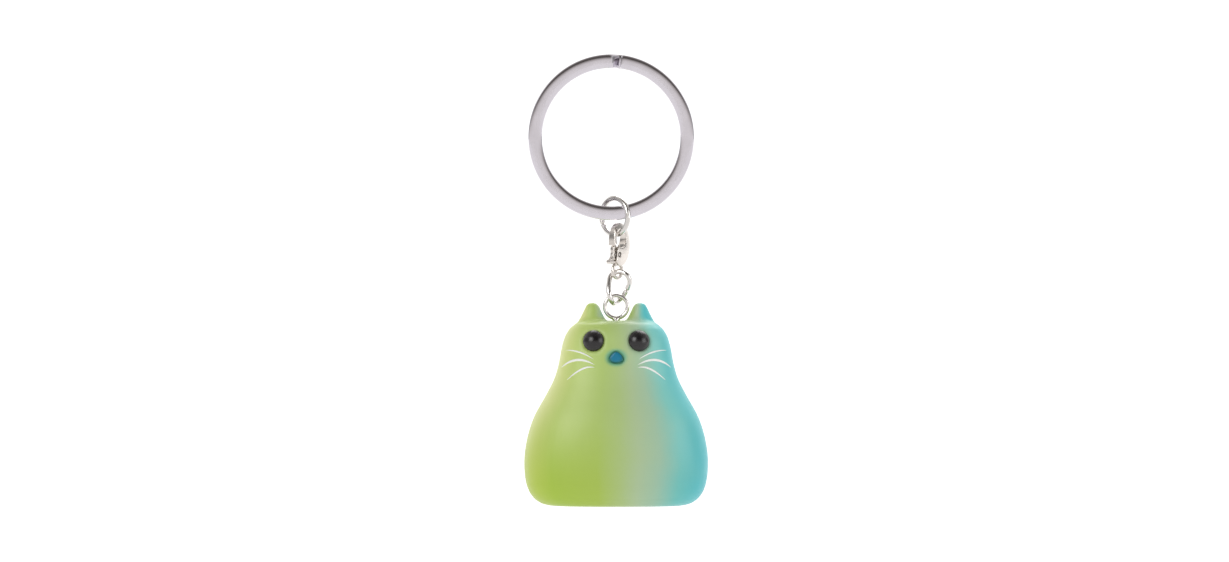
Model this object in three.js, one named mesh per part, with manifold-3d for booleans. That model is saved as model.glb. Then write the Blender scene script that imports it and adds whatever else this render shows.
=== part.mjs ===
// Moulded animal figure on a key ring: split ring, jump ring, lobster clasp, twisted link,
// screw eye, and a hollow figure with a base plug, two domed eyes and a nose.
// Units are millimetres. X is right, -Y is the figure's front, Z is up.
// The origin is the inside top of the split ring, where the key ring hangs.
import * as THREE from "three";
import { mergeVertices } from "three/addons/utils/BufferGeometryUtils.js";
import Module from "manifold-3d";

const wasm = await Module();
wasm.setup();

const DEG = Math.PI / 180;

// Split ring: two flat coils of one strip, crossing from front to back at the top.
const SPLIT_OUTER_R = 15;
const SPLIT_BAND = 2.5;
const SPLIT_COIL = 1.05;
const SPLIT_SLIT = 0.2;
const SPLIT_EDGE = 0.28;
const SPLIT_INNER_R = SPLIT_OUTER_R - SPLIT_BAND;
const SPLIT_Z = -SPLIT_INNER_R;
const CROSS_START = -2;
const CROSS_END = 6;
const SPLIT_END_GAP = 1.2;
const CROSS_SHARE = 0.08;

// Jump ring: round wire through the bottom of the split ring.
const JUMP_R = 3.3;
const JUMP_WIRE = 1.0;
const JUMP_X = 0.65;
const JUMP_Z = SPLIT_Z - 14.3;
const JUMP_TURN = -44;
const JUMP_CUT = 3;
const JUMP_CUT_AT = 205;

// Lobster clasp, drawn upright in its own plane with the centre of its eye at 0, 0.
const CLASP_X = 1.1;
const CLASP_Y = -0.3;
const CLASP_TURN = 52;
const CLASP_HOOK_W = 1.1;
const CLASP_TOP = 8.67;
const CLASP_CONTACT_GAP = 0.52;
const CLASP_T = 1.85;
const CLASP_Z = JUMP_Z - JUMP_R + JUMP_WIRE / 2 + CLASP_CONTACT_GAP + CLASP_HOOK_W - CLASP_TOP;
const CLASP_EYE_R = 1.32;
const CLASP_EYE_WIRE = 0.7;
const PILLOW_X = 0.4;
const PILLOW_Y = 4.2;
const PILLOW_HALF_W = 3.5;
const PILLOW_HALF_H = 5.1;
const CLASP_BEVEL = 0.24;
const PIVOT_X = -0.3;
const PIVOT_Y = 2.95;
const PIN_R = 0.28;
const PIN_HOLE_R = 0.46;
const PIN_LENGTH = 1.72;
const SLOT_T = 1.15;
const GATE_T = 0.8;
const GATE_TIP_R = 1.88;
const GATE_TIP_GAP = 0.22;
const GATE_BOSS_R = 0.95;
const GATE_WEB_T = 0.3;
const TAB_X = -2.1;
const TAB_Y = 1.65;
const TAB_PAD_R = 0.4;
const TAB_PAD_LENGTH = 1.35;
const SPRING_R = 0.66;
const SPRING_WIRE = 0.14;
const SPRING_PITCH = 0.18;
const SPRING_LEG = 0.55;
const SPRING_BASE = 0.04;
const SPRING_TURNS = 2;

// Twisted link: a wire loop turned along its length and leaning to the right at the top.
const LINK_WIRE = 1.0;
const LINK_END_R = 1.85;
const LINK_STRAIGHT = 2.2;
const LINK_TWIST = 90;
const LINK_TURN = 24;
const LINK_LEAN = 15;
const LINK_JOINT = 0.12;
const LINK_X = 1.2;
const LINK_Y = -0.3;
const LINK_Z = -39.67;

// Screw eye in the top of the head.
const SCREW_X = 0.9;
const SCREW_RING_R = 2.05;
const SCREW_WIRE = 0.8;
const SHANK_R = 0.62;
const THREAD_R = 0.86;
const THREAD_PITCH = 0.8;
const THREAD_TURNS = 8;
const THREAD_START = 0.9;
const THREAD_SLOPE = 0.2;
const THREAD_CREST = 0.1;
const SCREW_POINT = 0.6;
const SCREW_STANDS = 0.1;

// Figure: half widths of the front outline against height above its base.
const BASE_Z = -79.1;
const FIGURE_X = SCREW_X;
const FIGURE_H = 33.4;
const OUTLINE = [
  [12.2, 0], [14.2, 0.65], [15.9, 2.7], [16.65, 6.6], [16.35, 11.1], [15.0, 15.8],
  [12.65, 20.1], [11.15, 23.1], [10.3, 26.2], [9.85, 28.8], [8.95, 31.35], [7.65, 32.75],
  [6.2, 33.3], [0, FIGURE_H],
];
const WALL = 2.3;
const DEPTH_AT_BASE = 0.6;
const DEPTH_AT_TOP = 0.68;
const SQUARENESS = 2.5;
const MOUTH_HALF_W = 9.2;
const RIM_T = 1.8;
const BOSS_R = 2.7;
const BOSS_BASE = 23.2;
const BORE_R = 1.16;
const BOSS_TOP = 32;
const BORE_BASE = 25;
const BORE_TOP = 36;
const PLUG_GAP = 0.3;
const PLUG_T = 1.5;
const PLUG_LIP_H = 1.6;
const PLUG_LIP_T = 1.2;

// Ears: rounded cones moulded with the head.
const EAR_X = 4.3;
const EAR_H = 3.35;
const EAR_SUNK = 1.3;
const EAR_DEPTH = 0.78;

// Face inserts.
const EYE_X = 4.15;
const EYE_Y = 29.95;
const EYE_R = 1.92;
const EYE_BULGE = 1.05;
const EYE_SEAT = 0.45;
const STEM_R = 0.7;
const STEM_LENGTH = 1.5;
const FIT_GAP = 0.15;
const STEM_GAP = 0.2;
const NOSE_Y = 27.0;
const NOSE_HALF_W = 1.3;
const NOSE_TOP = 1.05;
const NOSE_BULGE = 0.55;
const NOSE_SEAT = 0.4;

function metal(color, roughness) {
  return new THREE.MeshStandardMaterial({ color, roughness, metalness: 1.0 });
}

function plastic(color, roughness) {
  return new THREE.MeshStandardMaterial({ color, roughness, metalness: 0.0 });
}

function withoutFlatFaces(geometry) {
  const kept = [];
  const index = geometry.index.array;
  for (let i = 0; i < index.length; i += 3) {
    const [a, b, c] = [index[i], index[i + 1], index[i + 2]];
    if (a !== b && b !== c && c !== a) {
      kept.push(a, b, c);
    }
  }
  return kept;
}

function solid(geometry) {
  const plain = geometry.clone();
  plain.deleteAttribute("normal");
  plain.deleteAttribute("uv");
  const merged = mergeVertices(plain, 1e-4);
  const faces = withoutFlatFaces(merged);
  const vertProperties = new Float32Array(merged.attributes.position.array);
  const build = (list) => new wasm.Manifold(
    new wasm.Mesh({ numProp: 3, vertProperties, triVerts: new Uint32Array(list) }),
  );
  const first = build(faces);
  return first.volume() > 0 ? first : build(faces.reverse());
}

function geometryOf(body) {
  const mesh = body.getMesh();
  const geometry = new THREE.BufferGeometry();
  geometry.setAttribute("position", new THREE.BufferAttribute(mesh.vertProperties, 3));
  geometry.setIndex(new THREE.BufferAttribute(mesh.triVerts, 1));
  return geometry;
}

function piece(name, body, material) {
  const mesh = new THREE.Mesh(geometryOf(body), material);
  mesh.name = name;
  return mesh;
}

function join(bodies) {
  return bodies.slice(1).reduce((sum, body) => sum.add(body), bodies[0]);
}

function polygon(points) {
  return new THREE.Shape(points.map(([x, y]) => new THREE.Vector2(x, y)));
}

function smoothLoop(points, divisions) {
  const loop = new THREE.CatmullRomCurve3(
    points.map(([x, y]) => new THREE.Vector3(x, y, 0)), true, "centripetal",
  );
  return new THREE.Shape(
    loop.getSpacedPoints(divisions).slice(0, divisions).map((p) => new THREE.Vector2(p.x, p.y)),
  );
}

function circleShape(radius, sides) {
  const points = [];
  for (let i = 0; i < sides; i += 1) {
    const angle = (2 * Math.PI * i) / sides;
    points.push([radius * Math.cos(angle), radius * Math.sin(angle)]);
  }
  return polygon(points);
}

function plate(shape, thickness, bevel = 0, bevelSteps = 2) {
  const geometry = new THREE.ExtrudeGeometry(shape, {
    depth: thickness - 2 * bevel,
    bevelEnabled: bevel > 0,
    bevelThickness: bevel,
    bevelSize: bevel,
    bevelOffset: -bevel,
    bevelSegments: bevelSteps,
    curveSegments: 12,
  });
  geometry.translate(0, 0, bevel - thickness / 2);
  return geometry;
}

function wire(path, diameter, steps, sides = 10) {
  return new THREE.ExtrudeGeometry(circleShape(diameter / 2, sides), {
    steps,
    bevelEnabled: false,
    extrudePath: path,
  });
}

// A lathe turned upright, so that its profile is (radius, height).
function turned(profile, sides) {
  const points = profile.map(([r, h]) => new THREE.Vector2(r, h));
  return new THREE.LatheGeometry(points, sides).rotateX(Math.PI / 2);
}

// ---- split ring ----

// The strip's centre line: one turn in front, the crossing, one turn behind.
class SplitPath extends THREE.Curve {
  constructor(crossShare) {
    super();
    this.crossShare = crossShare;
  }

  angle(t) {
    const turns = (1 - this.crossShare) / 2;
    const front = 360 + CROSS_START - CROSS_END - SPLIT_END_GAP;
    const start = CROSS_END + SPLIT_END_GAP;
    if (t < turns) {
      return start + (front * t) / turns;
    }
    if (t < 1 - turns) {
      return 360 + CROSS_START + ((CROSS_END - CROSS_START) * (t - turns)) / this.crossShare;
    }
    return 360 + CROSS_END + (front * (t - 1 + turns)) / turns;
  }

  getPoint(t, target = new THREE.Vector3()) {
    const degrees = this.angle(t);
    const crossing = THREE.MathUtils.smoothstep(degrees, 360 + CROSS_START, 360 + CROSS_END);
    const radius = SPLIT_INNER_R + SPLIT_BAND / 2;
    return target.set(
      radius * Math.sin(degrees * DEG),
      (crossing - 0.5) * (SPLIT_COIL + SPLIT_SLIT),
      SPLIT_Z + radius * Math.cos(degrees * DEG),
    );
  }

  getUtoTmapping(u) {
    return u;
  }

  computeFrenetFrames(segments) {
    const frames = { tangents: [], normals: [], binormals: [] };
    for (let i = 0; i <= segments; i += 1) {
      const t = i / segments;
      const degrees = this.angle(t);
      const outward = new THREE.Vector3(Math.sin(degrees * DEG), 0, Math.cos(degrees * DEG));
      const tangent = this.getTangent(t);
      frames.tangents.push(tangent);
      frames.binormals.push(outward);
      frames.normals.push(new THREE.Vector3().crossVectors(outward, tangent).normalize());
    }
    return frames;
  }
}

function stripSection() {
  const [halfT, halfW, r] = [SPLIT_COIL / 2, SPLIT_BAND / 2, SPLIT_EDGE];
  const section = new THREE.Shape();
  section.moveTo(halfT, -halfW + r);
  section.lineTo(halfT, halfW - r);
  section.absarc(halfT - r, halfW - r, r, 0, Math.PI / 2);
  section.lineTo(-halfT + r, halfW);
  section.absarc(-halfT + r, halfW - r, r, Math.PI / 2, Math.PI);
  section.lineTo(-halfT, -halfW + r);
  section.absarc(-halfT + r, -halfW + r, r, Math.PI, 1.5 * Math.PI);
  section.lineTo(halfT - r, -halfW);
  section.absarc(halfT - r, -halfW + r, r, 1.5 * Math.PI, 2 * Math.PI);
  return section;
}

function splitRing() {
  const geometry = new THREE.ExtrudeGeometry(stripSection(), {
    steps: 160,
    curveSegments: 1,
    bevelEnabled: false,
    extrudePath: new SplitPath(CROSS_SHARE),
  });
  return piece("split_ring", solid(geometry), metal(0xc9c2ca, 0.24));
}

// ---- jump ring ----

class ArcPath extends THREE.Curve {
  constructor(radius, startDegrees, endDegrees) {
    super();
    this.radius = radius;
    this.start = startDegrees;
    this.end = endDegrees;
  }

  getPoint(t, target = new THREE.Vector3()) {
    const angle = THREE.MathUtils.lerp(this.start, this.end, t) * DEG;
    return target.set(this.radius * Math.cos(angle), 0, this.radius * Math.sin(angle));
  }
}

function jumpRing() {
  const path = new ArcPath(JUMP_R, JUMP_CUT_AT + JUMP_CUT / 2, JUMP_CUT_AT + 360 - JUMP_CUT / 2);
  const geometry = wire(path, JUMP_WIRE, 44, 12);
  geometry.rotateZ(JUMP_TURN * DEG);
  geometry.translate(JUMP_X, 0, JUMP_Z);
  return piece("jump_ring", solid(geometry), metal(0xd8d4cf, 0.2));
}

// ---- lobster clasp ----

function placeClasp(body) {
  const angle = CLASP_TURN * DEG;
  const across = new THREE.Vector3(Math.cos(angle), Math.sin(angle), 0);
  const up = new THREE.Vector3(0, 0, 1);
  const matrix = new THREE.Matrix4().makeBasis(across, up, across.clone().cross(up));
  matrix.setPosition(CLASP_X, CLASP_Y, CLASP_Z);
  return solid(geometryOf(body).applyMatrix4(matrix));
}

function claspOutline() {
  const outline = smoothLoop([
    [0.3, CLASP_TOP], [1.7, 8.1], [2.7, 6.6], [2.95, 4.7], [2.45, 2.8], [1.5, 1.4],
    [0.6, 0.95], [-0.3, 0.95], [-1.0, 1.6], [-1.5, 3.0], [-1.65, 4.8], [-1.6, 6.6],
    [-0.95, 8.05],
  ], 72);
  outline.holes.push(smoothLoop([
    [0.2, CLASP_TOP - CLASP_HOOK_W], [-0.7, 7.25], [-1.05, 6.4], [-1.05, 5.2], [-0.6, 4.5],
    [0.4, 4.3], [1.3, 4.7], [1.7, 5.8], [1.3, 6.9],
  ], 40));
  return outline;
}

// The mouth between the hook's tip and the two cheeks, its top edge round the gate's swing.
function mouthShape() {
  const radius = GATE_TIP_R + GATE_TIP_GAP;
  const points = [[-4, 1.5], [-1.15, 1.5], [-0.95, 2.4], [-0.9, 3.6], [-0.5, 4.5]];
  for (let degrees = 90; degrees <= 140; degrees += 10) {
    points.push([
      PIVOT_X + radius * Math.cos(degrees * DEG),
      PIVOT_Y + radius * Math.sin(degrees * DEG),
    ]);
  }
  points.push([-4, PIVOT_Y + radius * Math.sin(140 * DEG)]);
  return polygon(points);
}

function slotShape() {
  return polygon([
    [-4, 1.0], [-1.45, 1.0], [-1.0, 1.75], [0.4, 1.75], [0.95, 2.3], [1.2, 3.4], [1.4, 4.9],
    [-0.6, 4.9], [-0.9, 4.2], [-4, 4.2],
  ]);
}

function claspBody() {
  const pillow = new THREE.SphereGeometry(1, 40, 28);
  pillow.scale(PILLOW_HALF_W, PILLOW_HALF_H, CLASP_T / 2);
  pillow.translate(PILLOW_X, PILLOW_Y, 0);
  const hook = solid(plate(claspOutline(), CLASP_T, CLASP_BEVEL, 3)).intersect(solid(pillow));
  const eye = new THREE.TorusGeometry(CLASP_EYE_R, CLASP_EYE_WIRE / 2, 10, 32);
  const mouth = plate(mouthShape(), 2 * CLASP_T);
  const slot = plate(slotShape(), SLOT_T);
  const pinHole = plate(circleShape(PIN_HOLE_R, 18), 2 * CLASP_T).translate(PIVOT_X, PIVOT_Y, 0);
  const body = hook
    .subtract(solid(slot))
    .subtract(solid(mouth))
    .add(solid(eye))
    .subtract(solid(pinHole));
  return piece("clasp_body", placeClasp(body), metal(0xd6d0ca, 0.22));
}

function claspGate() {
  const tip = (degrees) => [
    PIVOT_X + GATE_TIP_R * Math.cos(degrees * DEG),
    PIVOT_Y + GATE_TIP_R * Math.sin(degrees * DEG),
  ];
  const lever = smoothLoop([
    tip(130), tip(118), tip(106), [-0.5, 4.2], [0.1, 3.85], [0.6, 3.2], [0.4, 2.35],
    [-0.3, 2.0], [-1.0, 2.0], [-1.5, 1.72], [-2.0, 1.4], [-2.3, 1.5], [-2.25, 1.95],
    [-1.85, 2.45], [-1.6, 3.1], [-1.62, 3.9],
  ], 56);
  const arm = solid(plate(lever, GATE_T, 0.1, 1));
  const pad = plate(circleShape(TAB_PAD_R, 16), TAB_PAD_LENGTH, 0.12, 1)
    .translate(TAB_X, TAB_Y, 0);
  const seat = plate(circleShape(GATE_BOSS_R, 28), GATE_T)
    .translate(PIVOT_X, PIVOT_Y, GATE_WEB_T);
  const bore = plate(circleShape(PIN_HOLE_R, 18), 2 * GATE_T).translate(PIVOT_X, PIVOT_Y, 0);
  const body = arm.add(solid(pad)).subtract(solid(seat)).subtract(solid(bore));
  return piece("clasp_gate", placeClasp(body), metal(0xd0cac4, 0.24));
}

function claspPin() {
  const half = PIN_LENGTH / 2;
  const profile = [
    [0, -half], [PIN_R * 0.7, -half + 0.02], [PIN_R, -half + 0.1],
    [PIN_R, half - 0.1], [PIN_R * 0.7, half - 0.02], [0, half],
  ];
  const pin = turned(profile, 18).translate(PIVOT_X, PIVOT_Y, 0);
  return piece("clasp_pin", placeClasp(solid(pin)), metal(0xc4beb8, 0.3));
}

// Two coils round the pin, with a short straight leg at each end.
function springPath() {
  const points = [];
  const stepsPerTurn = 14;
  const count = SPRING_TURNS * stepsPerTurn;
  const bottom = SPRING_BASE;
  points.push(new THREE.Vector3(SPRING_R, -SPRING_LEG, bottom));
  for (let i = 0; i <= count; i += 1) {
    const angle = (2 * Math.PI * i) / stepsPerTurn;
    points.push(new THREE.Vector3(
      SPRING_R * Math.cos(angle),
      SPRING_R * Math.sin(angle),
      bottom + (SPRING_PITCH * i) / stepsPerTurn,
    ));
  }
  points.push(new THREE.Vector3(SPRING_R, SPRING_LEG, bottom + SPRING_PITCH * SPRING_TURNS));
  return new THREE.CatmullRomCurve3(points, false, "centripetal");
}

function claspSpring() {
  const coil = wire(springPath(), SPRING_WIRE, 44, 6).translate(PIVOT_X, PIVOT_Y, 0);
  return piece("clasp_spring", placeClasp(solid(coil)), metal(0xb9b5b0, 0.3));
}

// ---- twisted link ----

// A stadium loop cut at the middle of one side, twisted about its length.
class LinkPath extends THREE.Curve {
  constructor(joint) {
    super();
    this.joint = joint;
  }

  flat(distance) {
    const arc = Math.PI * LINK_END_R;
    const half = LINK_STRAIGHT / 2;
    if (distance < half) {
      return [LINK_END_R, distance];
    }
    if (distance < half + arc) {
      const angle = (distance - half) / LINK_END_R;
      return [LINK_END_R * Math.cos(angle), half + LINK_END_R * Math.sin(angle)];
    }
    if (distance < 3 * half + arc) {
      return [-LINK_END_R, half - (distance - half - arc)];
    }
    if (distance < 3 * half + 2 * arc) {
      const angle = (distance - 3 * half - arc) / LINK_END_R;
      return [-LINK_END_R * Math.cos(angle), -half - LINK_END_R * Math.sin(angle)];
    }
    return [LINK_END_R, distance - 4 * half - 2 * arc];
  }

  getPoint(t, target = new THREE.Vector3()) {
    const length = 2 * LINK_STRAIGHT + 2 * Math.PI * LINK_END_R;
    const distance = this.joint / 2 + t * (length - this.joint);
    const [across, up] = this.flat(distance);
    const twist = LINK_TURN - (LINK_TWIST * up) / (LINK_STRAIGHT + 2 * LINK_END_R);
    return target.set(across * Math.cos(twist * DEG), across * Math.sin(twist * DEG), up);
  }
}

function chainLink() {
  const geometry = wire(new LinkPath(LINK_JOINT), LINK_WIRE, 56, 12);
  geometry.rotateY(LINK_LEAN * DEG);
  geometry.translate(LINK_X, LINK_Y, LINK_Z);
  return piece("chain_link", solid(geometry), metal(0xd8d4cf, 0.2));
}

// ---- screw eye ----

function threadedShank() {
  const top = -SCREW_RING_R;
  const profile = [[0, top], [SHANK_R, top]];
  for (let i = 0; i < THREAD_TURNS; i += 1) {
    const z = top - THREAD_START - i * THREAD_PITCH;
    profile.push(
      [SHANK_R, z],
      [THREAD_R, z - THREAD_SLOPE],
      [THREAD_R, z - THREAD_SLOPE - THREAD_CREST],
      [SHANK_R, z - 2 * THREAD_SLOPE - THREAD_CREST],
    );
  }
  profile.push([0, top - THREAD_START - THREAD_TURNS * THREAD_PITCH - SCREW_POINT]);
  return turned(profile.reverse(), 16);
}

function screwEye() {
  const ring = new THREE.TorusGeometry(SCREW_RING_R, SCREW_WIRE / 2, 12, 40);
  ring.rotateX(Math.PI / 2);
  const body = solid(ring).add(solid(threadedShank()));
  const centreZ = BASE_Z + FIGURE_H + SCREW_RING_R + SCREW_WIRE / 2 + SCREW_STANDS;
  const placed = geometryOf(body).translate(SCREW_X, 0, centreZ);
  return piece("screw_eye", solid(placed), metal(0xd6d0cb, 0.22));
}

// ---- figure ----

function signedPower(value, exponent) {
  return Math.sign(value) * Math.abs(value) ** exponent;
}

function depthShare(height) {
  return THREE.MathUtils.lerp(DEPTH_AT_BASE, DEPTH_AT_TOP, height / FIGURE_H);
}

// Turns a round body into one with rounded-box sections, shallower than it is wide.
function squared(geometry) {
  const position = geometry.attributes.position;
  for (let i = 0; i < position.count; i += 1) {
    const [x, y, z] = [position.getX(i), position.getY(i), position.getZ(i)];
    const radius = Math.hypot(x, y);
    const angle = Math.atan2(y, x);
    position.setXY(
      i,
      radius * signedPower(Math.cos(angle), 2 / SQUARENESS),
      radius * depthShare(z) * signedPower(Math.sin(angle), 2 / SQUARENESS),
    );
  }
  return geometry;
}

function outlineCurve() {
  return new THREE.CatmullRomCurve3(
    OUTLINE.map(([w, h]) => new THREE.Vector3(w, h, 0)), false, "centripetal",
  );
}

function outerProfile(divisions) {
  const points = outlineCurve().getSpacedPoints(divisions).map((p) => [Math.max(p.x, 0), p.y]);
  points[divisions] = [0, FIGURE_H];
  return points;
}

// The outline moved inwards by the wall, above the rim round the mouth.
function innerProfile(divisions) {
  const curve = outlineCurve();
  const points = [];
  for (let i = 0; i <= divisions; i += 1) {
    const u = i / divisions;
    const point = curve.getPointAt(u);
    const along = curve.getTangentAt(u);
    const moved = [point.x - WALL * along.y, point.y + WALL * along.x];
    if (moved[0] > 0.5 && moved[1] > RIM_T + 0.8) {
      points.push(moved);
    }
  }
  return [[MOUTH_HALF_W, 0], [MOUTH_HALF_W, RIM_T], ...points, [0, FIGURE_H - WALL]];
}

function halfWidthAt(height) {
  const points = outerProfile(240);
  const above = points.findIndex(([, h]) => h >= height);
  const [[w0, h0], [w1, h1]] = [points[above - 1], points[above]];
  return THREE.MathUtils.mapLinear(height, h0, h1, w0, w1);
}

// The front surface at a distance x from the middle.
function frontPoint(x, height) {
  const halfWidth = halfWidthAt(height);
  const across = Math.abs(x / halfWidth) ** SQUARENESS;
  const y = -halfWidth * depthShare(height) * (1 - across) ** (1 / SQUARENESS);
  return new THREE.Vector3(x, y, height);
}

// A frame on the face: origin on the surface, third axis straight out of it.
function faceFrame(x, height) {
  const step = 0.2;
  const origin = frontPoint(x, height);
  const right = frontPoint(x + step, height).sub(frontPoint(x - step, height)).normalize();
  const up = frontPoint(x, height + step).sub(frontPoint(x, height - step));
  const out = right.clone().cross(up).normalize();
  const matrix = new THREE.Matrix4().makeBasis(right, out.clone().cross(right), out);
  return matrix.setPosition(origin);
}

function ear(side) {
  const profile = [
    [0, -EAR_SUNK], [2.8, -EAR_SUNK], [2.75, -0.4], [2.4, 0.3], [2.0, 1.0], [1.64, 1.8],
    [1.36, 2.45], [1.08, 2.95], [0.68, 3.24], [0.34, 3.33], [0, EAR_H],
  ];
  const cone = turned(profile, 28);
  cone.scale(1, EAR_DEPTH, 1);
  return solid(cone.translate(side * EAR_X, 0, FIGURE_H));
}

function placeFigure(body) {
  return solid(geometryOf(body).translate(FIGURE_X, 0, BASE_Z));
}

function bodyShell() {
  const outer = outerProfile(30);
  const shell = solid(squared(turned([...innerProfile(20).reverse(), ...outer], 56)));
  const boss = turned([[0, BOSS_BASE], [BOSS_R, BOSS_BASE], [BOSS_R, BOSS_TOP], [0, BOSS_TOP]], 24);
  const bore = turned([[0, BORE_BASE], [BORE_R, BORE_BASE], [BORE_R, BORE_TOP], [0, BORE_TOP]], 18);
  const body = join([shell, ear(-1), ear(1), solid(boss)])
    .subtract(solid(bore))
    .subtract(eyeSocket(-1))
    .subtract(eyeSocket(1))
    .subtract(noseSocket());
  return piece("body_shell", placeFigure(body), plastic(0xacc680, 0.45));
}

function basePlug() {
  const halfW = MOUTH_HALF_W - PLUG_GAP / DEPTH_AT_BASE;
  const lip = halfW - PLUG_LIP_T;
  const profile = [
    [0, 0], [halfW - 0.2, 0], [halfW, 0.2], [halfW, PLUG_T + PLUG_LIP_H],
    [lip, PLUG_T + PLUG_LIP_H], [lip, PLUG_T], [0, PLUG_T],
  ];
  return piece("base_plug", placeFigure(solid(squared(turned(profile, 48)))), plastic(0xa3bd76, 0.5));
}

// ---- face inserts ----

function stem(radius, length) {
  return turned([[0, -EYE_SEAT - length], [radius, -EYE_SEAT - length], [radius, 0], [0, 0]], 16);
}

function eyeDome() {
  const profile = [[0, -EYE_SEAT], [EYE_R, -EYE_SEAT]];
  const ballR = (EYE_R ** 2 + EYE_BULGE ** 2) / (2 * EYE_BULGE);
  const start = Math.asin(EYE_R / ballR);
  const steps = 8;
  for (let i = 0; i <= steps; i += 1) {
    const angle = start * (1 - i / steps);
    profile.push([ballR * Math.sin(angle), EYE_BULGE - ballR + ballR * Math.cos(angle)]);
  }
  return turned(profile, 32);
}

function eyeSocket(side) {
  const frame = faceFrame(side * EYE_X, EYE_Y);
  const floor = -EYE_SEAT - FIT_GAP;
  const radius = EYE_R + FIT_GAP;
  const seat = turned([[0, floor], [radius, floor], [radius, 3], [0, 3]], 32);
  const hole = stem(STEM_R + STEM_GAP, 4);
  return solid(seat.applyMatrix4(frame)).add(solid(hole.applyMatrix4(frame)));
}

function eye(side, name) {
  const dome = solid(eyeDome()).add(solid(stem(STEM_R, STEM_LENGTH)));
  const placed = geometryOf(dome).applyMatrix4(faceFrame(side * EYE_X, EYE_Y));
  return piece(name, placeFigure(solid(placed)), plastic(0x0b0a0c, 0.12));
}

function noseShape(margin) {
  const [w, top] = [NOSE_HALF_W + margin, NOSE_TOP + margin];
  return smoothLoop([
    [0, top], [0.52 * w, 0.62 * top], [w, -0.35 * top], [0.72 * w, -0.88 * top], [0, -top],
    [-0.72 * w, -0.88 * top], [-w, -0.35 * top], [-0.52 * w, 0.62 * top],
  ], 28);
}

function noseSocket() {
  const seat = plate(noseShape(FIT_GAP), 4).translate(0, 0, 2 - NOSE_SEAT - FIT_GAP);
  return solid(seat.applyMatrix4(faceFrame(0, NOSE_Y)));
}

function nose() {
  const thickness = NOSE_SEAT + NOSE_BULGE;
  const bump = plate(noseShape(0), thickness, 0.4, 4)
    .translate(0, 0, thickness / 2 - NOSE_SEAT);
  const placed = bump.applyMatrix4(faceFrame(0, NOSE_Y));
  return piece("nose", placeFigure(solid(placed)), plastic(0x1e82b4, 0.3));
}

const keychain = new THREE.Group();
keychain.name = "plush_keychain";
keychain.add(
  splitRing(), jumpRing(),
  claspBody(), claspGate(), claspPin(), claspSpring(),
  chainLink(), screwEye(),
  bodyShell(), basePlug(), eye(-1, "left_eye"), eye(1, "right_eye"), nose(),
);

export default keychain;
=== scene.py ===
"""Looks of the keychain: nickel-plated hardware and a satin moulded figure, lime green with
blue-green sprayed on from its right. The object's lengths are in millimetres and are turned into
metres by MM; the camera, floor and lights are in metres. X is right, -Y is the figure's front and
Z is up."""

import math

import bmesh
import bpy
from mathutils import Matrix, Vector
from mathutils.bvhtree import BVHTree


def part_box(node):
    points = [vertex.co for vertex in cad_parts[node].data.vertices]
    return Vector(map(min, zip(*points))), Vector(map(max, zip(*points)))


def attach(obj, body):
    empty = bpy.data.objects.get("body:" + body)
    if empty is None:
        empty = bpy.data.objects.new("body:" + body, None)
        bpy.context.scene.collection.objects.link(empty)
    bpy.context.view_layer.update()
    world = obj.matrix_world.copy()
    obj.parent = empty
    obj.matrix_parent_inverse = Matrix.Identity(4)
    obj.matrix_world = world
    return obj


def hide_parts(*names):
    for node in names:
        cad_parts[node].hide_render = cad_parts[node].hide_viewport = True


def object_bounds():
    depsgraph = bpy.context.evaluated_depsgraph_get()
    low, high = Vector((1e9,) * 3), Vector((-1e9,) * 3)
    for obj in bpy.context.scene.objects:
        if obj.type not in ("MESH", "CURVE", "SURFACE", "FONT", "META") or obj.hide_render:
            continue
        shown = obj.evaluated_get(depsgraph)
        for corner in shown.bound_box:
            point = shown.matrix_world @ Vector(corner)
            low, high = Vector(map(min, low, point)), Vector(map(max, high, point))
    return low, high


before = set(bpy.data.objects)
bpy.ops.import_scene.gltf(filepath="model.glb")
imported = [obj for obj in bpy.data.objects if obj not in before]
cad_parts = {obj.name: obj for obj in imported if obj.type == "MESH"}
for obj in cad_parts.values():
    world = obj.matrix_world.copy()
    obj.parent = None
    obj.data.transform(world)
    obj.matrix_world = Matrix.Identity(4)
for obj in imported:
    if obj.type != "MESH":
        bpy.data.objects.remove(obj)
cad_box = [list(map(float, corner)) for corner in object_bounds()]

MM = 0.001
DEG = math.pi / 180

# Split ring: RING_CROSS is the crossing in degrees from the top, RING_CROSS_SHARE its share of the
# steps along the strip, and RING_END_GAP the gap in degrees that each end keeps from it
RING_OUTER = 15.0
RING_BAND = 2.5
RING_COIL = 1.05
RING_SLIT = 0.2
RING_SQUARENESS = 3.4
RING_CROSS = (-2.0, 6.0)
RING_END_GAP = 1.2
RING_CROSS_SHARE = 0.08
RING_STEPS = 620
RING_SECTION_SIDES = 44
RING_END_SHRINK = 0.82
RING_CENTRE_Z = -(RING_OUTER - RING_BAND)

# Jump ring and link: their angles are in degrees, and the link's drawn wire is a little thinner
# than its CAD wire so that it clears its neighbours at the joints' limits
WIRE_SIDES = 20
WIRE_END_ROUND = 0.3
JUMP_R = 3.3
JUMP_WIRE = 1.0
JUMP_TURN = -44.0
JUMP_CUT_AT = 205.0
JUMP_CUT = 2.2
JUMP_STEPS = 120
LINK_WIRE = 1.0
LINK_END_R = 1.85
LINK_STRAIGHT = 2.2
LINK_TWIST = 90.0
LINK_TURN = 24.0
LINK_LEAN = 15.0
LINK_JOINT = 0.12
LINK_STEPS = 140
WIRE_EASE = 0.96

# Each copied CAD node's remesh size and the number of smoothing passes over it
SMOOTH_FACTOR = 0.5
FINENESS = {
    "clasp_body": (0.07, 6),
    "clasp_gate": (0.06, 3),
    "clasp_pin": (0.05, 2),
    "screw_eye": (0.09, 4),
    "body_shell": (0.3, 10),
    "left_eye": (0.1, 5),
    "right_eye": (0.1, 5),
    "nose": (0.08, 5),
    "base_plug": (0.2, 2),
}

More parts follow.
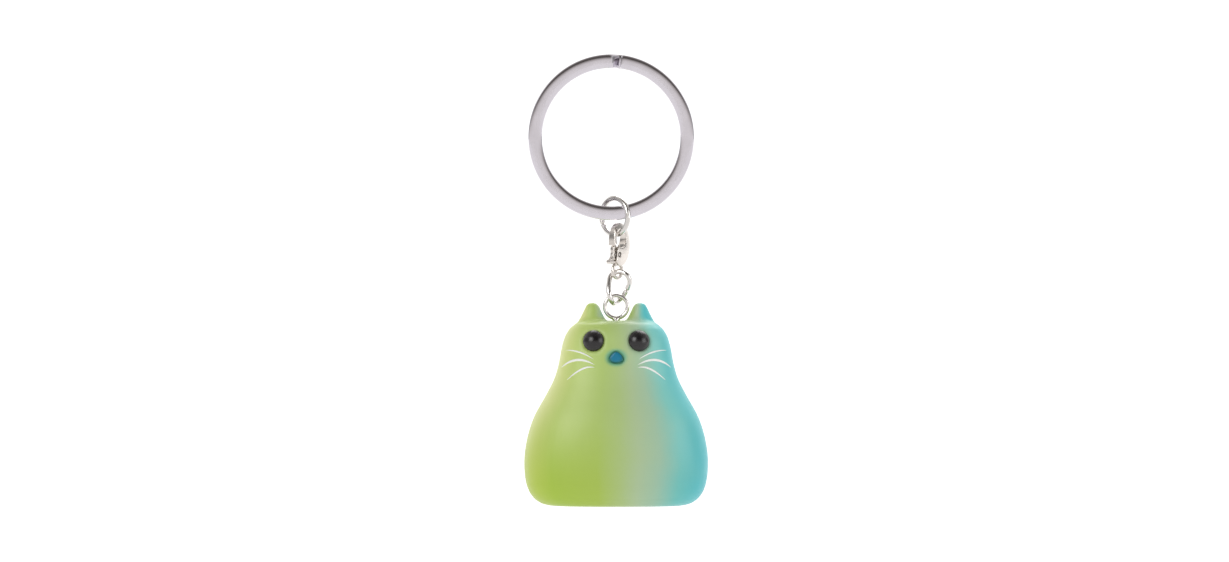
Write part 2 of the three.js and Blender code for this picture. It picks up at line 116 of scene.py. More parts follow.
# Figure: its outline is (half width, height) from the base up, and HEAD_ROUNDING is how far below
# the top the paint stops following it
FIGURE_H = 33.4
HEAD_ROUNDING = 1.2
OUTLINE = [
    (12.2, 0), (14.2, 0.65), (15.9, 2.7), (16.65, 6.6), (16.35, 11.1), (15.0, 15.8),
    (12.65, 20.1), (11.15, 23.1), (10.3, 26.2), (9.85, 28.8), (8.95, 31.35), (7.65, 32.75),
    (6.2, 33.3), (0, FIGURE_H),
]
OUTLINE_STEPS = 24
EAR_X = 4.3
EAR_HALF = 1.9

# Its paint, from 0 for lime to 1 for blue-green: how far it changes from the middle to the edge,
# and from what faces ahead to what faces right. The ears have their own values, which take over
# between the two heights of EAR_FADE above FIGURE_H. Between the two heights of the fade at the end
# of this list, above the base, the base's darker, more saturated colours, which are painted shade,
# give way to the upper part's lighter, paler ones, which are painted sheen
SPRAY_ACROSS = 0.46
SPRAY_FACING = 0.06
LEFT_EAR_SPRAY = 0.34
RIGHT_EAR_SPRAY = 0.8
EAR_SPRAY_ACROSS = 0.36
EAR_SPRAY_FACING = 0.12
EAR_FADE = (-0.3, 1.2)
SHADE_TO_SHEEN_FADE = (3.0, 20.0)

# Nose and the blue-green halo painted round it. NOSE_RIM is where the nose's blue turns into its
# rim's colour, measured from its middle, and NOSE_STRETCH how much wider than tall that is.
# HALO_REACH is the halo's (half width, half height), and it fades between the shares of that in
# HALO_EDGE
NOSE_H = 27.0
NOSE_RIM = (0.55, 1.1)
NOSE_STRETCH = 1.2
HALO_REACH = (1.9, 1.5)
HALO_DROP = 0.1
HALO_EDGE = (0.75, 1.25)
HALO_STRENGTH = 0.75

# Whiskers on one side: inner end, middle and outer end as (x, height), then width. STROKE_TIP is
# the least half width, at the two ends
WHISKERS = {
    "upper": ((4.1, 26.6), (6.6, 27.85), (9.05, 28.15), 0.34),
    "middle": ((3.9, 25.6), (7.05, 26.45), (9.85, 25.05), 0.52),
    "lower": ((3.9, 25.1), (6.1, 24.85), (8.85, 22.85), 0.4),
}
STROKE_STEPS = 28
STROKE_TAPER = 0.7
STROKE_TIP = 0.025

# Half of a stroke's section, from its edge inwards: (share of its half width, lift off the skin)
STROKE_HALF_SECTION = ((1, -0.08), (0.75, 0.03), (0.35, 0.055))
STROKE_CREST = (0, 0.06)

# Camera
AIM = (0.6 * MM, 0, (RING_CENTRE_Z - 26.0) * MM)
CAMERA_LENS = 200.0
CAMERA_DISTANCE = 1.2356
CAMERA_ELEVATION = 0.8 * DEG

# Floor: FLOOR_GLOW is its glow behind and in front, which changes between the two Y places of
# FLOOR_GLOW_FADE
FLOOR_HALF = 6.0
FLOOR_DROP = 0.03
FLOOR_GLOW = (0.86, 0.46)
FLOOR_GLOW_FADE = (0.25, -0.15)

# The room: each sky is a list of heights, from 0 straight down to 1 straight up, with their
# brightness. The back sky turns into the front one where the direction's Y is between the two
# values of FRONT_EDGE, and the room darkens to SIDE_SHADE of its strength where its X, to either
# side, is between those of SIDE_EDGE
SKY_STRENGTH = 1.17
BACK_SKY = [(0.0, 0.9), (0.45, 1.0), (0.58, 1.0), (0.7, 0.9), (0.85, 0.55), (1.0, 0.3)]
FRONT_SKY = [(0.0, 0.7), (0.45, 0.7), (0.51, 0.7), (0.57, 0.36), (0.65, 0.07), (1.0, 0.12)]
FRONT_EDGE = (0.1, -0.8)
SIDE_EDGE = (0.84, 0.94)
SIDE_SHADE = 0.3

# Each softbox's place, the side of its square and its power in watts; all face the aim point
SOFTBOXES = {
    "key_softbox": ((-0.5, -0.7, 0.35), 0.5, 3.3),
    "fill_softbox": ((0.9, -0.5, 0.1), 0.7, 3.0),
    "top_softbox": ((0.1, 0.35, 0.5), 0.6, 3.0),
}

# The Mix node's sockets for its two colours and its resulting colour
MIX_A = 6
MIX_B = 7
MIX_RESULT = 2

# Where the rays that find the skin start, well in front of it
IN_FRONT = -50.0


def cad_centre(node):
    """The middle of a CAD node's box, in metres."""
    low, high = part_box(node)
    return (Vector(low) + Vector(high)) / 2


# ---------------------------------------------------------------- mesh helpers


def make_object(name, verts, faces, smooth=True):
    """A mesh object in the scene, with its faces turned outwards."""
    mesh = bpy.data.meshes.new(name)
    mesh.from_pydata([tuple(v) for v in verts], [], faces)
    mesh.validate()
    bm = bmesh.new()
    bm.from_mesh(mesh)
    bmesh.ops.recalc_face_normals(bm, faces=bm.faces)
    bm.to_mesh(mesh)
    bm.free()
    for polygon in mesh.polygons:
        polygon.use_smooth = smooth
    obj = bpy.data.objects.new(name, mesh)
    bpy.context.scene.collection.objects.link(obj)
    return obj


def loft(name, loops):
    """A tube of quads through equal loops of points, with flat ends."""
    count = len(loops[0])
    verts = [p for loop in loops for p in loop]
    faces = []
    for i in range(len(loops) - 1):
        a = i * count
        b = a + count
        for j in range(count):
            k = (j + 1) % count
            faces.append((a + j, a + k, b + k, b + j))
    faces.append(tuple(range(count))[::-1])
    end = (len(loops) - 1) * count
    faces.append(tuple(end + j for j in range(count)))
    return make_object(name, verts, faces)


def round_wire(name, centres, radius):
    """A round wire along a list of points, with its two cut ends slightly rounded."""
    loops = []
    total = len(centres)
    side = None
    for i, centre in enumerate(centres):
        ahead = centres[min(i + 1, total - 1)]
        behind = centres[max(i - 1, 0)]
        tangent = (ahead - behind).normalized()
        if side is None:
            side = tangent.orthogonal().normalized()
        side = (side - tangent * side.dot(tangent)).normalized()
        other = tangent.cross(side)
        scale = 1.0 - WIRE_END_ROUND if i in (0, total - 1) else 1.0
        loops.append([
            centre + radius * scale * (math.cos(a) * side + math.sin(a) * other)
            for a in (2 * math.pi * j / WIRE_SIDES for j in range(WIRE_SIDES))
        ])
    return loft(name, loops)


def from_cad(name, node):
    """A smooth copy of a CAD node: remeshed evenly, so that its edges are softly rounded."""
    voxel, smoothing = FINENESS[node]
    obj = bpy.data.objects.new(name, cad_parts[node].data.copy())
    obj.data.materials.clear()
    bpy.context.scene.collection.objects.link(obj)
    remesh = obj.modifiers.new("even", "REMESH")
    remesh.mode = "VOXEL"
    remesh.voxel_size = voxel * MM
    remesh.use_smooth_shade = True
    soften = obj.modifiers.new("soften", "SMOOTH")
    soften.factor = SMOOTH_FACTOR
    soften.iterations = smoothing
    apply_modifiers(obj)
    return obj


def apply_modifiers(obj):
    """Turns an object's modifiers into its mesh, with smooth shading."""
    depsgraph = bpy.context.evaluated_depsgraph_get()
    mesh = bpy.data.meshes.new_from_object(obj.evaluated_get(depsgraph))
    obj.modifiers.clear()
    obj.data = mesh
    for polygon in mesh.polygons:
        polygon.use_smooth = True


def finish_piece(obj, material, body, slot, *nodes):
    """Gives a piece its material and the body it rides on, and hides the nodes it stands for. slot
    is not used.
    """
    obj.data.materials.clear()
    obj.data.materials.append(material)
    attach(obj, body)
    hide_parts(*nodes)


# ---------------------------------------------------------------- material helpers


def set_stops(ramp, stops):
    """Gives a colour ramp node its stops, as (position, colour)."""
    elements = ramp.color_ramp.elements
    while len(elements) < len(stops):
        elements.new(0.5)
    for element, (position, colour) in zip(elements, stops):
        element.position = position
        element.color = (*colour, 1.0)


class Nodes:
    """A short way to write a material's node tree. Noise scales are per metre of object space,
    and a bump's distance is in millimetres."""

    def __init__(self, name):
        self.material = bpy.data.materials.new(name)
        self.material.use_nodes = True
        self.tree = self.material.node_tree
        self.shader = self.tree.nodes["Principled BSDF"]
        self.coords = self.tree.nodes.new("ShaderNodeTexCoord")

    def node(self, kind, **settings):
        made = self.tree.nodes.new("ShaderNode" + kind)
        for key, value in settings.items():
            setattr(made, key, value)
        return made

    def link(self, source, target):
        self.tree.links.new(source, target)

    def set(self, **values):
        for key, value in values.items():
            self.shader.inputs[key.replace("_", " ")].default_value = value

    def noise(self, scale, detail=3.0, roughness=0.5, stretch=None):
        made = self.node("TexNoise")
        made.inputs["Scale"].default_value = scale
        made.inputs["Detail"].default_value = detail
        made.inputs["Roughness"].default_value = roughness
        source = self.coords.outputs["Object"]
        if stretch:
            mapping = self.node("Mapping")
            mapping.inputs["Scale"].default_value = stretch
            self.link(source, mapping.inputs["Vector"])
            source = mapping.outputs["Vector"]
        self.link(source, made.inputs["Vector"])
        return made.outputs["Fac"]

    def math(self, operation, a, b=None, clamp=False):
        made = self.node("Math", operation=operation, use_clamp=clamp)
        for socket, value in zip(made.inputs, (a, b)):
            if value is None:
                continue
            if isinstance(value, (int, float)):
                socket.default_value = value
            else:
                self.link(value, socket)
        return made.outputs[0]

    def ramp(self, factor, stops):
        made = self.node("ValToRGB")
        set_stops(made, stops)
        self.link(factor, made.inputs["Fac"])
        return made.outputs["Color"]

    def spread(self, factor, low, high):
        """A value moved from 0..1 to low..high."""
        made = self.node("MapRange")
        made.inputs["To Min"].default_value = low
        made.inputs["To Max"].default_value = high
        self.link(factor, made.inputs["Value"])
        return made.outputs["Result"]

    def mix(self, factor, a, b):
        made = self.node("Mix", data_type="RGBA")
        self.link(factor, made.inputs["Factor"])
        for socket, value in ((made.inputs[MIX_A], a), (made.inputs[MIX_B], b)):
            if isinstance(value, tuple):
                socket.default_value = (*value, 1.0)
            else:
                self.link(value, socket)
        return made.outputs[MIX_RESULT]

    def bump(self, height, strength, distance):
        made = self.node("Bump")
        made.inputs["Strength"].default_value = strength
        made.inputs["Distance"].default_value = distance * MM
        self.link(height, made.inputs["Height"])
        self.link(made.outputs["Normal"], self.shader.inputs["Normal"])


def srgb(red, green, blue):
    """An sRGB colour of 0..255 as linear light."""
    return tuple(
        c / 12.92 if c <= 0.04045 else ((c + 0.055) / 1.055) ** 2.4
        for c in (red / 255, green / 255, blue / 255)
    )


# ---------------------------------------------------------------- materials


def plated_metal(name, tint, rough, grain, dent):
    """Nickel plate: slight clouding of its colour, uneven polish and fine handling scratches.
    rough is its roughness, grain stretches the scratches and dent is their depth."""
    m = Nodes(name)
    m.set(Metallic=1.0)
    cloud = m.noise(420.0, detail=4.0)
    dark = tuple(c * 0.86 for c in tint)
    m.link(m.mix(m.spread(cloud, 0.0, 1.0), tint, dark), m.shader.inputs["Base Color"])
    polish = m.noise(1800.0, detail=5.0, roughness=0.6)
    m.link(m.spread(polish, rough * 0.6, rough * 1.5), m.shader.inputs["Roughness"])
    scratches = m.noise(900.0, detail=6.0, roughness=0.7, stretch=grain)
    waves = m.noise(300.0, detail=1.0)
    height = m.math("ADD", m.math("MULTIPLY", scratches, 0.25), waves)
    m.bump(height, 0.35, dent)
    return m.material


def skin_material():
    """Satin vinyl: airbrushed from lime to blue-green along the spray attribute, in the colours
    of the base, of the upper part and of the nose's halo. The base's colours are darker and more
    saturated, as painted shade, and the upper part's lighter and paler, as painted sheen; both
    are lighter at the far left, as a painted reflection at the rim."""
    m = Nodes("figure_vinyl")
    spray = m.node("Attribute", attribute_name="spray").outputs["Fac"]
    height = m.node("Attribute", attribute_name="height").outputs["Fac"]
    halo = m.node("Attribute", attribute_name="halo").outputs["Fac"]
    speckle = m.math("SUBTRACT", m.noise(5200.0, detail=2.0), 0.5)
    drift = m.math("SUBTRACT", m.noise(160.0, detail=2.0), 0.5)
    wander = m.math("ADD", m.math("MULTIPLY", speckle, 0.035), m.math("MULTIPLY", drift, 0.06))
    across = m.math("ADD", spray, wander, clamp=True)
    # The base's colours, darker and more saturated as painted shade; lighter at the far left as a
    # painted rim reflection
    low = m.ramp(across, [
        (0.0, srgb(178, 198, 74)), (0.15, srgb(162, 192, 60)), (0.4, srgb(163, 190, 74)),
        (0.52, srgb(167, 192, 120)), (0.62, srgb(168, 193, 152)), (0.72, srgb(154, 192, 166)),
        (0.85, srgb(106, 192, 186)), (1.0, srgb(66, 188, 198)),
    ])
    # The upper part's colours, lighter and paler as painted sheen; palest at the far left as a
    # painted rim reflection
    high = m.ramp(across, [
        (0.0, srgb(214, 222, 146)), (0.15, srgb(188, 210, 118)), (0.4, srgb(174, 200, 112)),
        (0.52, srgb(174, 199, 130)), (0.62, srgb(175, 199, 154)), (0.72, srgb(166, 199, 168)),
        (0.85, srgb(126, 203, 194)), (1.0, srgb(86, 196, 202)),
    ])
    # Painted light: the height value blends from the base's painted shade to the upper part's
    # painted sheen
    body = m.mix(height, low, high)
    colour = m.mix(halo, body, srgb(84, 176, 150))
    m.link(colour, m.shader.inputs["Base Color"])
    m.link(m.spread(m.noise(900.0, detail=4.0), 0.34, 0.5), m.shader.inputs["Roughness"])
    m.set(Specular_IOR_Level=0.5, IOR=1.5, Coat_Weight=0.12, Coat_Roughness=0.3)
    grain = m.noise(3600.0, detail=4.0, roughness=0.6)
    orange_peel = m.noise(650.0, detail=2.0)
    relief = m.math("ADD", m.math("MULTIPLY", grain, 0.35), orange_peel)
    m.bump(relief, 0.25, 0.05)
    return m.material


def ink_material():
    """The whiskers' white print."""
    m = Nodes("whisker_ink")
    cover = m.noise(2400.0, detail=4.0)
    m.link(m.mix(cover, srgb(250, 250, 248), srgb(232, 236, 232)), m.shader.inputs["Base Color"])
    m.link(m.spread(cover, 0.35, 0.55), m.shader.inputs["Roughness"])
    m.bump(cover, 0.2, 0.02)
    return m.material


def eye_material():
    """Glossy near-black, with a faint haze."""
    m = Nodes("eye_gloss")
    haze = m.noise(1500.0, detail=4.0)
    m.link(m.mix(haze, srgb(9, 6, 9), srgb(19, 14, 19)), m.shader.inputs["Base Color"])
    m.link(m.spread(haze, 0.22, 0.32), m.shader.inputs["Roughness"])
    m.set(Coat_Weight=0.25, Coat_Roughness=0.22)
    m.bump(m.noise(500.0, detail=1.0), 0.05, 0.03)
    return m.material


def nose_material():
    """Satin blue that turns to a dark blue-green at the nose's rim."""
    m = Nodes("nose_satin")
    rim = m.node("Attribute", attribute_name="rim").outputs["Fac"]
    cloud = m.math("MULTIPLY", m.math("SUBTRACT", m.noise(1800.0), 0.5), 0.3)
    m.link(
        m.mix(m.math("ADD", rim, cloud, clamp=True), srgb(10, 118, 152), srgb(14, 104, 104)),
        m.shader.inputs["Base Color"],
    )
    m.link(m.spread(m.noise(2500.0), 0.25, 0.4), m.shader.inputs["Roughness"])
    m.bump(m.noise(2500.0), 0.15, 0.03)
    return m.material


def plug_material():
    """The base plug's plain, duller green vinyl."""
    m = Nodes("plug_vinyl")
    cloud = m.noise(300.0, detail=3.0)
    m.link(m.mix(cloud, srgb(166, 190, 92), srgb(150, 176, 84)), m.shader.inputs["Base Color"])
    m.link(m.spread(m.noise(1200.0), 0.42, 0.6), m.shader.inputs["Roughness"])
    m.bump(m.noise(3000.0, detail=4.0), 0.25, 0.05)
    return m.material


# ---------------------------------------------------------------- hardware


def ring_angle(t):
    """How far round, in degrees, the strip is at 0..1 of its steps, which are closest together
    over the crossing."""
    turns = (1 - RING_CROSS_SHARE) / 2
    one_coil = 360 + RING_CROSS[0] - RING_CROSS[1] - RING_END_GAP
    if t < turns:
        return RING_CROSS[1] + RING_END_GAP + one_coil * t / turns
    if t < 1 - turns:
        share = (t - turns) / RING_CROSS_SHARE
        return 360 + RING_CROSS[0] + (RING_CROSS[1] - RING_CROSS[0]) * share
    return 360 + RING_CROSS[1] + one_coil * (t - 1 + turns) / turns


def ring_section():
    """The strip's section as (thickness, width): a flattened wire, its faces rolling off softly."""
    points = []
    for i in range(RING_SECTION_SIDES):
        a = 2 * math.pi * (i + 0.5) / RING_SECTION_SIDES
        points.append((
            RING_COIL / 2 * math.copysign(abs(math.cos(a)) ** (2 / RING_SQUARENESS), math.cos(a)),
            RING_BAND / 2 * math.copysign(abs(math.sin(a)) ** (2 / RING_SQUARENESS), math.sin(a)),
        ))
    return points


def split_ring(material):
    """Two flat coils that change places over the short crossing at the top."""
    radius = RING_OUTER - RING_BAND / 2
    section = ring_section()
    centres, outwards = [], []
    for i in range(RING_STEPS + 1):
        degrees = ring_angle(i / RING_STEPS)
        share = min(max((degrees - 360 - RING_CROSS[0]) / (RING_CROSS[1] - RING_CROSS[0]), 0), 1)
        crossing = share * share * (3 - 2 * share)
        outward = Vector((math.sin(degrees * DEG), 0, math.cos(degrees * DEG)))
        centre = outward * radius
        centre.y = (crossing - 0.5) * (RING_COIL + RING_SLIT)
        centre.z += RING_CENTRE_Z
        centres.append(centre)
        outwards.append(outward)
    loops = []
    for i, (centre, outward) in enumerate(zip(centres, outwards)):
        tangent = (centres[min(i + 1, RING_STEPS)] - centres[max(i - 1, 0)]).normalized()
        normal = outward.cross(tangent).normalized()
        scale = RING_END_SHRINK if i in (0, RING_STEPS) else 1.0
        loops.append([(centre + scale * (x * normal + y * outward)) * MM for x, y in section])
    obj = loft("ring_coils", loops)
    finish_piece(obj, material, "key_ring", "ring_steel", "split_ring")


def jump_ring(material):
    """An open ring of round wire, turned about the upright axis."""
    centre = cad_centre("jump_ring")
    turn = Matrix.Rotation(JUMP_TURN * DEG, 4, "Z")
    points = []
    for i in range(JUMP_STEPS + 1):
        angle = (JUMP_CUT_AT + JUMP_CUT / 2 + (360 - JUMP_CUT) * i / JUMP_STEPS) * DEG
        flat = Vector((math.cos(angle), 0, math.sin(angle))) * JUMP_R * MM
        points.append(centre + turn @ flat)
    obj = round_wire("jump_wire", points, JUMP_WIRE / 2 * MM)
    finish_piece(obj, material, "jump", "bright_wire", "jump_ring")
    return obj


def link_point(t):
    """A point on the link's centre line: a long oval twisted about its upright axis."""
    arc = math.pi * LINK_END_R
    half = LINK_STRAIGHT / 2
    distance = LINK_JOINT / 2 + t * (2 * LINK_STRAIGHT + 2 * arc - LINK_JOINT)
    if distance < half:
        across, up = LINK_END_R, distance
    elif distance < half + arc:
        a = (distance - half) / LINK_END_R
        across, up = LINK_END_R * math.cos(a), half + LINK_END_R * math.sin(a)
    elif distance < 3 * half + arc:
        across, up = -LINK_END_R, half - (distance - half - arc)
    elif distance < 3 * half + 2 * arc:
        a = (distance - 3 * half - arc) / LINK_END_R
        across, up = -LINK_END_R * math.cos(a), -half - LINK_END_R * math.sin(a)
    else:
        across, up = LINK_END_R, distance - 4 * half - 2 * arc
    twist = (LINK_TURN - LINK_TWIST * up / (LINK_STRAIGHT + 2 * LINK_END_R)) * DEG
    return Vector((across * math.cos(twist), across * math.sin(twist), up))


def chain_link(material):
    """The twisted link of round wire, leaning as the photo shows it."""
    lean = Matrix.Rotation(LINK_LEAN * DEG, 4, "Y")
    points = [lean @ link_point(i / LINK_STEPS) for i in range(LINK_STEPS + 1)]
    low = [min(p[k] for p in points) for k in range(3)]
    high = [max(p[k] for p in points) for k in range(3)]
    middle = (Vector(low) + Vector(high)) / 2
    centre = cad_centre("chain_link")
    obj = round_wire(
        "link_wire", [centre + (p - middle) * MM for p in points], LINK_WIRE / 2 * WIRE_EASE * MM
    )
    finish_piece(obj, material, "link", "link_wire", "chain_link")
    return obj


def hardware():
    """The metal pieces; it returns those that the softboxes light."""
    steel = plated_metal("ring_nickel", srgb(232, 228, 236), 0.13, (1, 1, 1), 0.04)
    wire = plated_metal("wire_nickel", srgb(232, 229, 226), 0.14, (1, 1, 0.3), 0.03)
    cast = plated_metal("cast_nickel", srgb(232, 226, 220), 0.18, (1, 1, 0.4), 0.05)
    plain = plated_metal("plain_steel", srgb(205, 200, 196), 0.3, (1, 1, 1), 0.03)
    split_ring(steel)
    clasp = from_cad("clasp_casting", "clasp_body")
    finish_piece(clasp, cast, "clasp", "clasp_metal", "clasp_body")
    lever = from_cad("clasp_lever", "clasp_gate")
    finish_piece(lever, cast, "gate", "gate_metal", "clasp_gate")
    pin = from_cad("clasp_rivet", "clasp_pin")
    finish_piece(pin, plain, "clasp", "pin_metal", "clasp_pin")
    eye = from_cad("eye_screw", "screw_eye")
    finish_piece(eye, wire, "figure", "screw_metal", "screw_eye")
    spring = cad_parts["clasp_spring"]
    spring.data.materials.clear()
    spring.data.materials.append(plain)
    return [jump_ring(wire), chain_link(wire), clasp, lever, pin, eye, spring]


# ---------------------------------------------------------------- figure


def catmull_rom(points, per_span):
    """Points along a smooth curve through the given ones."""
    out = []
    count = len(points)
    for i in range(count - 1):
        p0 = Vector(points[max(i - 1, 0)])
        p1, p2 = Vector(points[i]), Vector(points[i + 1])
        p3 = Vector(points[min(i + 2, count - 1)])
        for j in range(per_span):
            t = j / per_span
            out.append(0.5 * (
                2 * p1 + (p2 - p0) * t + (2 * p0 - 5 * p1 + 4 * p2 - p3) * t * t
                + (3 * p1 - p0 - 3 * p2 + p3) * t ** 3
            ))
    out.append(Vector(points[-1]))
    return out


PROFILE = catmull_rom(OUTLINE, OUTLINE_STEPS)


def half_width(height):
    """Half the figure's width at a height above its base."""
    for a, b in zip(PROFILE, PROFILE[1:]):
        if a.y <= height <= b.y and b.y > a.y:
            return a.x + (b.x - a.x) * (height - a.y) / (b.y - a.y)
    return PROFILE[0].x if height < 0 else PROFILE[-2].x


def smoothstep(low, high, value):
    """0 below low, 1 above high and an even S between them."""
    t = min(max((value - low) / (high - low), 0.0), 1.0)
    return t * t * (3 - 2 * t)


def paint_attributes(obj, base):
    """The skin's spray, height and halo values, from which its material takes the colours. The
    height value sets how far the painted shade of the base gives way to the painted sheen above.
    """
    mesh = obj.data
    spray = mesh.attributes.new("spray", "FLOAT", "POINT")
    height = mesh.attributes.new("height", "FLOAT", "POINT")
    halo = mesh.attributes.new("halo", "FLOAT", "POINT")
    for i, vertex in enumerate(mesh.vertices):
        x = (vertex.co.x - base.x) / MM
        y = vertex.co.y / MM
        h = (vertex.co.z - base.z) / MM
        normal = vertex.normal
        share = x / max(half_width(min(h, FIGURE_H - HEAD_ROUNDING)), 1.0)
        on_body = 0.5 + SPRAY_ACROSS * share + SPRAY_FACING * normal.x
        across_ear = (abs(x) - EAR_X) / EAR_HALF * math.copysign(1, x)
        on_ear = RIGHT_EAR_SPRAY if x > 0 else LEFT_EAR_SPRAY
        on_ear += EAR_SPRAY_ACROSS * across_ear + EAR_SPRAY_FACING * normal.x
        ear = smoothstep(FIGURE_H + EAR_FADE[0], FIGURE_H + EAR_FADE[1], h)
        spray.data[i].value = on_body * (1 - ear) + on_ear * ear
        # The height value carries the painted shade and sheen: 0 at the base, 1 on the upper part
        height.data[i].value = smoothstep(*SHADE_TO_SHEEN_FADE, h)
        reach = math.hypot(x / HALO_REACH[0], (h - NOSE_H + HALO_DROP) / HALO_REACH[1])
        at_nose = HALO_STRENGTH * (1 - smoothstep(*HALO_EDGE, reach))
        halo.data[i].value = at_nose if y < 0 else 0.0


def figure_skin(base):
    """The moulding and its ears; base is the middle of its underside."""
    obj = from_cad("figure_skin", "body_shell")
    paint_attributes(obj, base)
    finish_piece(obj, skin_material(), "figure", "figure_skin", "body_shell")
    return obj


def whiskers(skin, base):
    """Six tapered ink strokes laid on the face."""
    strokes = []
    ink = ink_material()
    tree = BVHTree.FromObject(skin, bpy.context.evaluated_depsgraph_get())
    for side, word in ((-1, "left"), (1, "right")):
        for level, (inner, middle, outer, width) in WHISKERS.items():
            ends = [Vector((side * x, h)) for x, h in (inner, middle, outer)]
            obj = ink_stroke(f"whisker_{word}_{level}", ends, width, tree, base)
            obj.data.materials.append(ink)
            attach(obj, "figure")
            strokes.append(obj)
    return strokes


def ink_stroke(name, ends, width, tree, base):
    """A bowed stroke that lies on the skin and stands a few hundredths of a millimetre proud."""
    start, middle, end = ends
    control = 2 * middle - (start + end) / 2
    section = [(-share, lift) for share, lift in STROKE_HALF_SECTION] + [STROKE_CREST]
    section += reversed(STROKE_HALF_SECTION)
    loops = []
    for i in range(STROKE_STEPS + 1):
        t = i / STROKE_STEPS
        point = (1 - t) ** 2 * start + 2 * t * (1 - t) * control + t * t * end
        along = ((1 - t) * (control - start) + t * (end - control)).normalized()
        aside = Vector((-along.y, along.x))
        half = max(width / 2 * math.sin(math.pi * t) ** STROKE_TAPER, STROKE_TIP)
        loops.append([
            on_skin(point + aside * half * share, lift, tree, base) for share, lift in section
        ])
    return loft(name, loops)


def on_skin(spot, lift, tree, base):
    """The skin's point straight behind an (x, height) spot of the face, lifted off it a little."""
    origin = Vector((base.x + spot.x * MM, IN_FRONT * MM, base.z + spot.y * MM))
    hit, normal, _, _ = tree.ray_cast(origin, Vector((0, 1, 0)))
    if normal.y > 0:
        normal = -normal
    return hit + normal * lift * MM


def domed_eyes():
    """The two domed eyes."""
    eyes = []
    gloss = eye_material()
    for node, name in (("left_eye", "eye_dome_left"), ("right_eye", "eye_dome_right")):
        obj = from_cad(name, node)
        finish_piece(obj, gloss, "figure", "eye_black", node)
        eyes.append(obj)
    return eyes


def nose_button(base):
    """The raised nose, with the rim value that its material takes its colours from."""
    obj = from_cad("nose_button", "nose")
    rim = obj.data.attributes.new("rim", "FLOAT", "POINT")
    for i, vertex in enumerate(obj.data.vertices):
        x = (vertex.co.x - base.x) / MM
        h = (vertex.co.z - base.z) / MM - NOSE_H
        rim.data[i].value = smoothstep(*NOSE_RIM, math.hypot(x / NOSE_STRETCH, h))
    finish_piece(obj, nose_material(), "figure", "nose_blue", "nose")
    return obj


def base_plug():
    """The disc that closes the base."""
    obj = from_cad("base_cover", "base_plug")
    finish_piece(obj, plug_material(), "figure", "plug_plastic", "base_plug")
    return obj


def figure():
    """The figure's pieces, all of which the softboxes light."""
    low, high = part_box("body_shell")
    base = Vector(((low[0] + high[0]) / 2, 0, low[2]))
    skin = figure_skin(base)
    return [skin, *whiskers(skin, base), *domed_eyes(), nose_button(base), base_plug()]


# ---------------------------------------------------------------- set, light and camera


def backdrop(low_z):
    """A plain pale floor below the hanging figure that glows, more behind it than in front."""
    half = FLOOR_HALF
    z = low_z - FLOOR_DROP
    verts = [(-half, -half, z), (half, -half, z), (half, half, z), (-half, half, z)]
    obj = make_object("studio_floor", verts, [(0, 1, 2, 3)], smooth=False)
    m = Nodes("studio_floor")
    paper = m.noise(30.0, detail=3.0)
    colour = m.mix(paper, srgb(250, 250, 250), srgb(246, 246, 247))
    m.link(colour, m.shader.inputs["Base Color"])
    m.link(colour, m.shader.inputs["Emission Color"])
    m.set(Roughness=0.9)
    split = m.node("SeparateXYZ")
    m.link(m.coords.outputs["Object"], split.inputs[0])
    glow = m.node("MapRange", interpolation_type="SMOOTHSTEP")
    for key, value in zip(
        ("From Min", "From Max", "To Min", "To Max"), (*FLOOR_GLOW_FADE, *FLOOR_GLOW)
    ):
        glow.inputs[key].default_value = value
    m.link(split.outputs["Y"], glow.inputs["Value"])
    m.link(glow.outputs["Result"], m.shader.inputs["Emission Strength"])
    obj.data.materials.append(m.material)


def area_light(name, place, target, side, power, receivers):
    """A softbox for the given pieces; the split ring's flat face sees the room without it."""
    data = bpy.data.lights.new(name, "AREA")
    data.shape = "RECTANGLE"
    data.size = side
    data.size_y = side
    data.energy = power
    obj = bpy.data.objects.new(name, data)
    obj.location = place
    obj.rotation_euler = (Vector(target) - Vector(place)).to_track_quat("-Z", "Y").to_euler()
    bpy.context.scene.collection.objects.link(obj)
    obj.light_linking.receiver_collection = receivers


def sky(tree, stops):
    """Brightness by height, from straight down (0) to straight up (1), warmer where it is dark."""
    ramp = tree.nodes.new("ShaderNodeValToRGB")
    set_stops(ramp, [
        (position, (value, value * (0.9 + 0.1 * value), value * (0.82 + 0.18 * value)))
        for position, value in stops
    ])
    return ramp


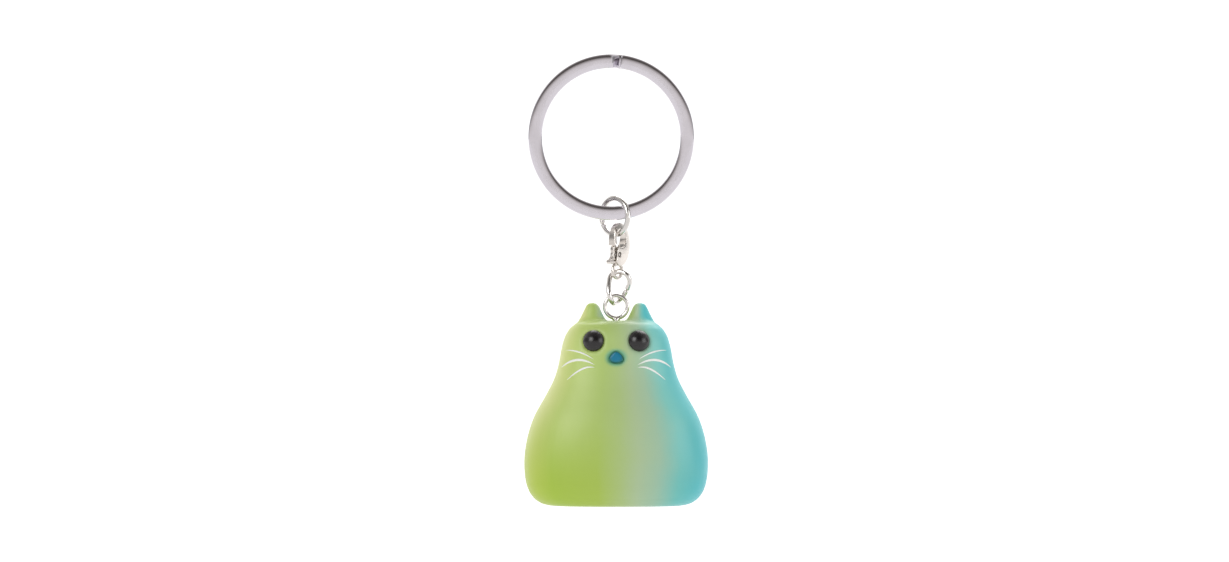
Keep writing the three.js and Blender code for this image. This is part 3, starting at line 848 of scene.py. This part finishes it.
def studio_world():
    """A room that is white behind, grey in front and dark overhead and at the sides, as polished
    metal shows it."""
    world = bpy.data.worlds.new("studio")
    world.use_nodes = True
    tree = world.node_tree
    background = tree.nodes["Background"]
    coords = tree.nodes.new("ShaderNodeTexCoord")
    split = tree.nodes.new("ShaderNodeSeparateXYZ")
    height = tree.nodes.new("ShaderNodeMapRange")
    front = tree.nodes.new("ShaderNodeMapRange")
    mix = tree.nodes.new("ShaderNodeMix")
    mix.data_type = "RGBA"
    height.inputs["From Min"].default_value = -1.0
    height.inputs["From Max"].default_value = 1.0
    front.interpolation_type = "SMOOTHSTEP"
    front.inputs["From Min"].default_value = FRONT_EDGE[0]
    front.inputs["From Max"].default_value = FRONT_EDGE[1]
    back_sky = sky(tree, BACK_SKY)
    front_sky = sky(tree, FRONT_SKY)
    tree.links.new(coords.outputs["Generated"], split.inputs[0])
    tree.links.new(split.outputs["Z"], height.inputs["Value"])
    tree.links.new(split.outputs["Y"], front.inputs["Value"])
    for ramp, socket in ((back_sky, MIX_A), (front_sky, MIX_B)):
        tree.links.new(height.outputs["Result"], ramp.inputs["Fac"])
        tree.links.new(ramp.outputs["Color"], mix.inputs[socket])
    tree.links.new(front.outputs["Result"], mix.inputs["Factor"])
    tree.links.new(mix.outputs[MIX_RESULT], background.inputs["Color"])
    aside = tree.nodes.new("ShaderNodeMath")
    aside.operation = "ABSOLUTE"
    strength = tree.nodes.new("ShaderNodeMapRange")
    strength.interpolation_type = "SMOOTHSTEP"
    strength.inputs["From Min"].default_value = SIDE_EDGE[0]
    strength.inputs["From Max"].default_value = SIDE_EDGE[1]
    strength.inputs["To Min"].default_value = SKY_STRENGTH
    strength.inputs["To Max"].default_value = SKY_STRENGTH * SIDE_SHADE
    tree.links.new(split.outputs["X"], aside.inputs[0])
    tree.links.new(aside.outputs[0], strength.inputs["Value"])
    tree.links.new(strength.outputs["Result"], background.inputs["Strength"])
    bpy.context.scene.world = world


def studio_light(target, pieces):
    """The room, and the softboxes that light the given pieces."""
    receivers = bpy.data.collections.new("softbox_receivers")
    for piece in pieces:
        receivers.objects.link(piece)
    for name, (place, side, power) in SOFTBOXES.items():
        area_light(name, place, target, side, power, receivers)
    studio_world()


def camera(target):
    """A long lens about level with the object."""
    data = bpy.data.cameras.new("camera")
    data.lens = CAMERA_LENS
    data.sensor_width = 36.0
    data.clip_end = 30.0
    obj = bpy.data.objects.new("camera", data)
    away = Vector((0, -math.cos(CAMERA_ELEVATION), math.sin(CAMERA_ELEVATION)))
    obj.location = Vector(target) + CAMERA_DISTANCE * away
    obj.rotation_euler = (Vector(target) - obj.location).to_track_quat("-Z", "Y").to_euler()
    bpy.context.scene.collection.objects.link(obj)
    bpy.context.scene.camera = obj


def set_and_camera(pieces):
    """The floor, light and camera; the softboxes and the camera face the aim point."""
    middle = Vector(AIM)
    backdrop(cad_box[0][2])
    studio_light(tuple(middle), pieces)
    camera(tuple(middle))
    bpy.context.scene.view_settings.view_transform = "Standard"


set_and_camera(hardware() + figure())

bpy.context.view_layer.update()
